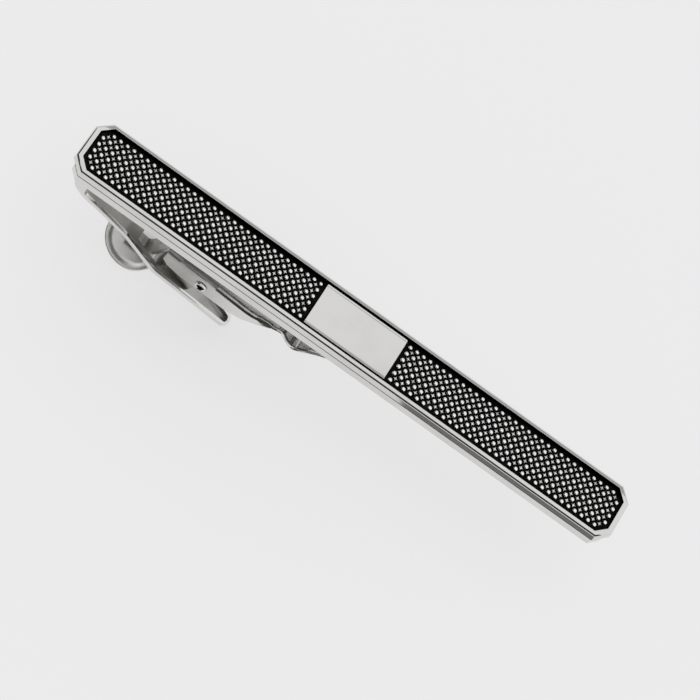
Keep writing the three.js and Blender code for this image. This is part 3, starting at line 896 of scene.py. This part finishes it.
def strap_run(clasp):
    """The strap's outer line as (place, slope) pairs: a bend, then three straights joined by two elbows."""
    slope = clasp.bend_start
    at = Vector((LEFT_END + settings("bar").end_inset, 0, clasp.bend_top))
    run = [(at, slope)]

    def straight(length, steps):
        nonlocal at
        ahead = Vector((math.cos(slope), 0, -math.sin(slope)))
        start = at
        for step in range(1, steps + 1):
            at = start + ahead * length * step / steps
            run.append((at, slope))

    def arc(to, radius, steps):
        nonlocal at, slope
        turn = 1 if slope > to else -1
        centre = at + upward(slope) * turn * radius
        start = slope
        for step in range(1, steps + 1):
            slope = start + (to - start) * step / steps
            at = centre - upward(slope) * turn * radius
            run.append((at, slope))

    arc(clasp.first_slope, clasp.bend_radius, BEND_STEPS)
    straight(clasp.first_run, RUN_STEPS)
    arc(clasp.steep_slope, clasp.elbow, ELBOW_STEPS)
    straight(clasp.steep_run, RUN_STEPS)
    arc(clasp.last_slope, clasp.elbow, ELBOW_STEPS)
    straight(clasp.last_run - clasp.tip_length, LAST_STEPS)
    straight(clasp.tip_length, TIP_STEPS)
    return run


def upward(slope):
    """The direction square to a slope, on its upper side."""
    return Vector((math.sin(slope), 0, math.cos(slope)))


def between(x, places):
    """A value at x, straight between the (x, value) places."""
    for (x0, v0), (x1, v1) in zip(places, places[1:]):
        if x <= x1:
            return v0 + (v1 - v0) * max(0, (x - x0) / (x1 - x0))
    return places[-1][1]


def trough(half, depth, radius, v):
    """A place on a U-shaped section, as (across, up), for v from 0 to 1."""
    radius = min(radius, half * 0.9, depth * 0.9)
    flat = half - radius
    curve = radius * math.pi / 2
    total = flat + curve + depth - radius
    along = abs(2 * v - 1) * total
    side = 1 if v > 0.5 else -1
    if along <= flat:
        return side * along, 0
    if along <= flat + curve:
        turn = (along - flat) / radius
        return side * (flat + radius * math.sin(turn)), radius * (1 - math.cos(turn))
    return side * half, radius + along - flat - curve


def strap_widths(clasp, run, tip_start):
    """Half the strap's width as (x, half width) pairs, from where it leaves the back to its tip."""
    leaving = run[0][0].x
    last_elbow = BEND_STEPS + 2 * (RUN_STEPS + ELBOW_STEPS)
    places = (leaving, leaving + clasp.start_cut, LEFT_END + clasp.throat, run[BEND_STEPS][0].x,
              run[BEND_STEPS + RUN_STEPS // 2][0].x, run[last_elbow][0].x)
    widths = [(x, STRAP_HIGH.y - less * MM) for x, less in zip(places, STRAP_NARROWING)]
    widths[0] = (leaving, widths[0][1] - clasp.start_cut)
    return widths + [(tip_start, clasp.tip_half)]


class TIEBAR_OT_clasp_strap(bpy.types.Operator):
    """Adds the strap's bend and its gutter, a folded sheet that runs back under the bar"""

    bl_idname = "tiebar.clasp_strap"
    bl_label = "Clasp Strap"

    def execute(self, context):
        clasp = settings("clasp")
        run = strap_run(clasp)
        tip_start = run[-1 - TIP_STEPS][0].x
        widths = strap_widths(clasp, run, tip_start)
        least = clasp.tip_half / 50
        throat = LEFT_END + clasp.throat

        def place(u, v):
            at, slope = run[round(u * (len(run) - 1))]
            width = between(at.x, widths)
            if at.x > tip_start:
                share = (at.x - tip_start) / (run[-1][0].x - tip_start)
                width = max(clasp.tip_half * math.sqrt(max(1 - share ** 2, 0)), least)
            to_bar = (clasp.bite - at.z) / math.cos(slope)
            to_throat = (throat - at.x) / math.sin(slope)
            depth = max(clasp.gutter_depth, min(to_bar, to_throat))
            across, up = trough(width, depth, clasp.floor_round, v)
            return at + upward(slope) * up + Vector((0, across, 0))

        bm = bmesh.new()
        face_towards(bm, sheet(bm, len(run) - 1, GUTTER_SIDES, place), -UP)
        self.window(bm, clasp)
        outer = set(bm.faces)
        thicken(bm, bm.faces, clasp.sheet)
        start, slope = run[0]
        ahead = Vector((math.cos(slope), 0, -math.sin(slope)))
        past_start = {v for v in bm.verts if (v.co - start).dot(ahead) > clasp.sheet / 7}
        lip = [e for e in bm.edges if sum(face in outer for face in e.link_faces) == 1
               and not past_start.isdisjoint(e.verts)]
        round_edges(bm, lip, clasp.lip_round, steps=4)
        # The gutter's inner faces take the darker unpolished finish, partly painted shade.
        made = piece(bm, "clasp_gutter", "bright_silver", "polished_silver", "bar", "clasp_strap",
                     inside="stamped_shaded_silver")
        soften(made, 0.05 * MM)
        return {"FINISHED"}

    def window(self, bm, clasp):
        """Takes out the floor's window for the lever's arm."""
        start = LEFT_END + clasp.window_start
        end = start + clasp.window_length
        inside = [f for f in bm.faces
                  if start < f.calc_center_median().x < end
                  and abs(f.calc_center_median().y) < clasp.window_half]
        bmesh.ops.delete(bm, geom=inside, context="FACES")


def lever_lines():
    """The lever's web, which ends under the bar's back, and the (x, height) of its flanges' lower edge."""
    rise = -PIVOT.z / MM - TIP_GAP
    web = [*LEVER_WEB, (13.2, rise - 0.85), (15.9, rise)]
    edge = [(point.x, point.z) for point in points_from_pivot(LEVER_EDGE)]
    return smooth_points(points_from_pivot(web), WEB_STEPS + 1), edge


class TIEBAR_OT_jaw_lever(bpy.types.Operator):
    """Adds the lever: a channel with a wavy tongue, and the arm that goes down to the thumb pad"""

    bl_idname = "tiebar.jaw_lever"
    bl_label = "Jaw Lever"

    def execute(self, context):
        sizes = settings("lever")
        bm = bmesh.new()
        self.channel(bm, sizes)
        self.arm(bm, sizes)
        # The lever's inner faces take the darker unpolished finish, partly painted shade.
        made = piece(bm, "jaw_lever_body", "lever_silver", "polished_silver", "jaw", "jaw_lever",
                     inside="stamped_shaded_silver")
        soften(made, 0.06 * MM)
        return {"FINISHED"}

    def channel(self, bm, sizes):
        web, lower = lever_lines()
        half = LEVER_HIGH.y

        def place(u, v):
            at = web[round(u * (len(web) - 1))]
            drop = sizes.tongue_edge
            if at.x < lower[-1][0]:
                drop = max(at.z - between(at.x, lower), drop)
            across, down = trough(half, drop, sizes.edge_round, v)
            flare = max(0, down - drop + sizes.flare) * math.copysign(sizes.flare_slope, across)
            return at + Vector((0, across + flare, -down))

        faces = sheet(bm, WEB_STEPS, WEB_SIDES, place)
        face_towards(bm, faces, UP)
        thicken(bm, faces, sizes.sheet)

    def arm(self, bm, sizes):
        base, axis, side = pad_place(sizes)
        rise = sizes.pad_thickness + sizes.sheet + FOOT_GAP * MM
        foot = [base + side * offset * MM + axis * rise for offset in ARM_FOOT]
        line = smooth_points(points_from_pivot(ARM_LINE) + foot, ARM_STEPS + 1)
        half = sizes.arm_width / 2

        def place(u, v):
            return line[round(u * ARM_STEPS)] + Vector((0, (2 * v - 1) * half, 0))

        faces = sheet(bm, ARM_STEPS, ARM_SIDES, place)
        face_towards(bm, faces, Vector((-1, 0, -1)))
        bmesh.ops.solidify(bm, geom=faces, thickness=sizes.sheet)
        # The arm's faces take the darker unpolished finish, partly painted shade.
        for face in faces:
            face.material_index = 1


def pad_place(sizes):
    """The middle of the pad's underside, the pad's axis, and the direction down its slope.

    The disc's widest circle lies 0.7 of the thickness above the underside.
    """
    lean, level = math.sin(sizes.pad_tilt), math.cos(sizes.pad_tilt)
    radius = PAD_HIGH.y
    x = (PAD_LOW.x + PAD_HIGH.x) / 2 - 0.7 * sizes.pad_thickness * lean
    z = PAD_HIGH.z - sizes.pad_thickness * level - (radius - sizes.pad_chamfer) * lean
    return Vector((x, 0, z)), Vector((lean, 0, level)), Vector((level, 0, -lean))


class TIEBAR_OT_thumb_pad(bpy.types.Operator):
    """Adds the round thumb pad: a dished disc with a groove inside its rim"""

    bl_idname = "tiebar.thumb_pad"
    bl_label = "Thumb Pad"

    def execute(self, context):
        sizes = settings("lever")
        radius, thick = PAD_HIGH.y, sizes.pad_thickness
        profile = [(radius * step / 10, sizes.pad_belly * (step / 10) ** 4) for step in range(11)]
        profile += [(radius - inwards * MM, height * MM) for inwards, height in PAD_RIM]
        profile += [(0, thick)]
        base, axis, side = pad_place(sizes)
        bm = bmesh.new()
        turned(bm, profile, PAD_SIDES, base, axis, side)
        piece(bm, "thumb_pad_disc", "satin_silver", "polished_silver", "jaw", "thumb_pad")
        return {"FINISHED"}


class TIEBAR_OT_pivot_pin(bpy.types.Operator):
    """Adds the pivot pin: a rivet whose two ends are spread over into hollow rims"""

    bl_idname = "tiebar.pivot_pin"
    bl_label = "Pivot Pin"

    def execute(self, context):
        sizes = settings("lever")
        half = LEVER_HIGH.y + sizes.pin_play
        end = PIN_HIGH.y - half
        head = (PIN_HIGH.z - PIN_LOW.z) / 2
        far = [(head * out, half + end * up) for out, up in RIVET_END] + [(sizes.pin_radius, half)]
        profile = far + [(r, -y) for r, y in reversed(far)]
        bm = bmesh.new()
        turned(bm, profile, PIN_SIDES, PIVOT, Vector((0, 1, 0)))
        # The faces inside each rivet hollow take the blackened finish as painted shade.
        for face in bm.faces:
            out = face.calc_center_median() - PIVOT
            if abs(out.y) > half / 2 and math.hypot(out.x, out.z) < sizes.hollow * head:
                face.material_index = 1
        piece(bm, "pivot_pin_rivet", "bright_silver", "polished_silver", "bar", "pivot_pin",
              inside="oxidised_and_shade_silver")
        return {"FINISHED"}


class TIEBAR_OT_hinge_bracket(bpy.types.Operator):
    """Adds the two-lug bracket that holds the pin over the gutter's floor"""

    bl_idname = "tiebar.hinge_bracket"
    bl_label = "Hinge Bracket"

    def execute(self, context):
        bm = merged_copy("hinge_bracket")
        # The bracket takes the darker unpolished finish, partly painted shade where it sits in the gutter.
        made = piece(bm, "hinge_bracket_body", "stamped_shaded_silver", "polished_silver", "bar", "hinge_bracket")
        soften(made, 0.04 * MM, steps=2)
        return {"FINISHED"}


class TIEBAR_OT_torsion_spring(bpy.types.Operator):
    """Adds the torsion spring, whose coil winds up as the jaw opens"""

    bl_idname = "tiebar.torsion_spring"
    bl_label = "Torsion Spring"

    def execute(self, context):
        sizes = settings("lever")
        line = self.wire(sizes)

        def place(u, v):
            i = round(u * (len(line) - 1))
            ahead = (line[min(i + 1, len(line) - 1)] - line[max(i - 1, 0)]).normalized()
            out = Vector((0, 1, 0)).cross(ahead).normalized()
            over = ahead.cross(out)
            turn = 2 * math.pi * round(v * WIRE_SIDES) / WIRE_SIDES
            return line[i] + (out * math.cos(turn) + over * math.sin(turn)) * sizes.wire_radius

        bm = bmesh.new()
        sheet(bm, len(line) - 1, WIRE_SIDES, place)
        bmesh.ops.remove_doubles(bm, verts=bm.verts, dist=MERGE)
        bmesh.ops.holes_fill(bm, edges=bm.edges, sides=0)
        made = piece(bm, "torsion_spring_wire", "drawn_wire", "spring_steel", None, "torsion_spring")
        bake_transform(made)
        return {"FINISHED"}

    def wire(self, sizes):
        """The wire's middle line: a straight leg, the coil, and a straight leg."""
        width = sizes.coil_turns * sizes.coil_pitch
        turned_by = sizes.coil_turns * 2 * math.pi + sizes.coil_part

        def coil(share):
            angle = sizes.coil_start - turned_by * share
            out = Vector((math.cos(angle), 0, math.sin(angle)))
            ahead = Vector((math.sin(angle), 0, -math.cos(angle)))
            return PIVOT + out * sizes.coil_radius + Vector((0, width * (share - 0.5), 0)), ahead

        start, ahead = coil(0)
        line = [start - ahead * sizes.leg * (1 - i / LEG_STEPS) for i in range(LEG_STEPS)]
        line += [coil(i / COIL_STEPS)[0] for i in range(COIL_STEPS + 1)]
        end, ahead = coil(1)
        return line + [end + ahead * sizes.leg * i / LEG_STEPS for i in range(1, LEG_STEPS + 1)]


# The stage

class TIEBAR_OT_stage(bpy.types.Operator):
    """Adds the camera, the pale floor and the soft studio light"""

    bl_idname = "tiebar.stage"
    bl_label = "Stage"

    def execute(self, context):
        self.camera(context)
        self.floor(context)
        self.lights(context)
        context.scene.view_settings.view_transform = "Standard"
        return {"FINISHED"}

    def camera(self, context):
        stage = settings("stage")
        a, e = stage.azimuth, stage.elevation
        back = Vector((math.sin(a) * math.cos(e), -math.cos(a) * math.cos(e), math.sin(e)))
        level = Vector((0, 1, 0)).cross(back).normalized()
        right = Matrix.Rotation(stage.roll, 3, back) @ level
        over = back.cross(right)
        data = bpy.data.cameras.new("camera")
        data.lens = stage.lens
        data.sensor_width = stage.sensor
        data.clip_start = 0.01
        camera = bpy.data.objects.new("camera", data)
        context.scene.collection.objects.link(camera)
        turn = Matrix((right, over, back)).transposed().to_4x4()
        aim = Vector((stage.aim_x, stage.aim_y, TOP))
        camera.matrix_world = Matrix.Translation(aim + back * stage.distance) @ turn
        context.scene.camera = camera

    def floor(self, context):
        bm = bmesh.new()
        bmesh.ops.create_grid(bm, x_segments=1, y_segments=1, size=settings("stage").floor_half)
        bmesh.ops.translate(bm, verts=bm.verts, vec=(0, 0, CAD_BOX[0][2]))
        self.stage_mesh(context, bm, "floor", finish_named("pale_floor"))

    def stage_mesh(self, context, bm, name, material):
        mesh = bpy.data.meshes.new(name)
        bm.to_mesh(mesh)
        bm.free()
        mesh.materials.append(material)
        made = bpy.data.objects.new(name, mesh)
        context.scene.collection.objects.link(made)
        return made

    def lights(self, context):
        stage = settings("stage")
        world = bpy.data.worlds.new("studio")
        world.use_nodes = True
        background = world.node_tree.nodes["Background"]
        background.inputs["Color"].default_value = (1, 1, 1, 1)
        background.inputs["Strength"].default_value = stage.sky
        context.scene.world = world
        self.softbox(context, stage)
        for name, bearing, elevations, level in CARDS:
            self.card(context, name, bearing, elevations, level)
        self.lying_card(context, *LYING_CARD)

    def softbox(self, context, stage):
        """The overhead light, which reflections don't show."""
        data = bpy.data.lights.new("key", "AREA")
        data.shape = "SQUARE"
        data.size = stage.key_side
        data.energy = stage.key
        light = bpy.data.objects.new("key", data)
        context.scene.collection.objects.link(light)
        light.location = (0, -stage.key_back, stage.key_height)
        light.rotation_mode = "QUATERNION"
        light.rotation_quaternion = light.location.to_track_quat("Z", "Y")
        light.visible_camera = False
        light.visible_glossy = False

    def card(self, context, name, bearing, elevations, level):
        """A card that only reflections see, which stands on one side from one elevation to another."""
        turn = Matrix.Rotation(math.radians(bearing), 3, "Z")
        low, high = (CARD_REACH * math.tan(math.radians(e)) for e in elevations)
        corners = ((-CARD_REACH, low), (CARD_REACH, low), (CARD_REACH, high), (-CARD_REACH, high))
        bm = bmesh.new()
        verts = [bm.verts.new(turn @ Vector((CARD_REACH, y, z))) for y, z in corners]
        bmesh.ops.contextual_create(bm, geom=verts)
        self.reflected_only(context, bm, name, level)

    def lying_card(self, context, name, across, along, level):
        """A card that only reflections see, which lies just over the floor."""
        height = CAD_BOX[0][2] / MM + 0.05
        bm = bmesh.new()
        corners = zip(across + across[::-1], sorted(along * 2))
        verts = [bm.verts.new(Vector((x, y, height)) * MM) for x, y in corners]
        bmesh.ops.contextual_create(bm, geom=verts)
        self.reflected_only(context, bm, name, level)

    def reflected_only(self, context, bm, name, level):
        """Makes a stage piece that glows evenly and shows in reflections alone."""
        finish = Finish(name)
        finish.surface(Base_Color=(0, 0, 0), Roughness=1.0, Emission_Color=(1, 1, 1),
                       Emission_Strength=level)
        made = self.stage_mesh(context, bm, name, finish.material)
        made.visible_camera = False
        made.visible_diffuse = False
        made.visible_shadow = False
        made.visible_transmission = False


class TIEBAR_PT_panel(bpy.types.Panel):
    """Lists the tie bar's pieces."""

    bl_idname = "TIEBAR_PT_panel"
    bl_label = "Tie Bar"
    bl_space_type = "VIEW_3D"
    bl_region_type = "UI"
    bl_category = "Tie Bar"

    def draw(self, context):
        for operator in OPERATORS:
            self.layout.operator(operator.bl_idname)


GROUPS = {
    "bar": TieBarSizes,
    "beads": BeadSizes,
    "clasp": ClaspSizes,
    "lever": LeverSizes,
    "colours": FinishColours,
    "stage": StageSizes,
}
OPERATORS = (
    TIEBAR_OT_stage,
    TIEBAR_OT_front_frame,
    TIEBAR_OT_inlays,
    TIEBAR_OT_centre_plaque,
    TIEBAR_OT_bar_back,
    TIEBAR_OT_clasp_strap,
    TIEBAR_OT_hinge_bracket,
    TIEBAR_OT_pivot_pin,
    TIEBAR_OT_torsion_spring,
    TIEBAR_OT_jaw_lever,
    TIEBAR_OT_thumb_pad,
)


def register():
    for group in GROUPS.values():
        bpy.utils.register_class(group)
    for name, group in GROUPS.items():
        setattr(bpy.types.Scene, "tiebar_" + name, PointerProperty(type=group))
    for cls in (*OPERATORS, TIEBAR_PT_panel):
        bpy.utils.register_class(cls)


def unregister():
    for cls in reversed((*OPERATORS, TIEBAR_PT_panel)):
        bpy.utils.unregister_class(cls)
    for name, group in GROUPS.items():
        delattr(bpy.types.Scene, "tiebar_" + name)
        bpy.utils.unregister_class(group)


def main():
    register()
    for operator in OPERATORS:
        family, name = operator.bl_idname.split(".")
        getattr(getattr(bpy.ops, family), name)()
    bpy.context.view_layer.update()


if __name__ == "__main__":
    main()
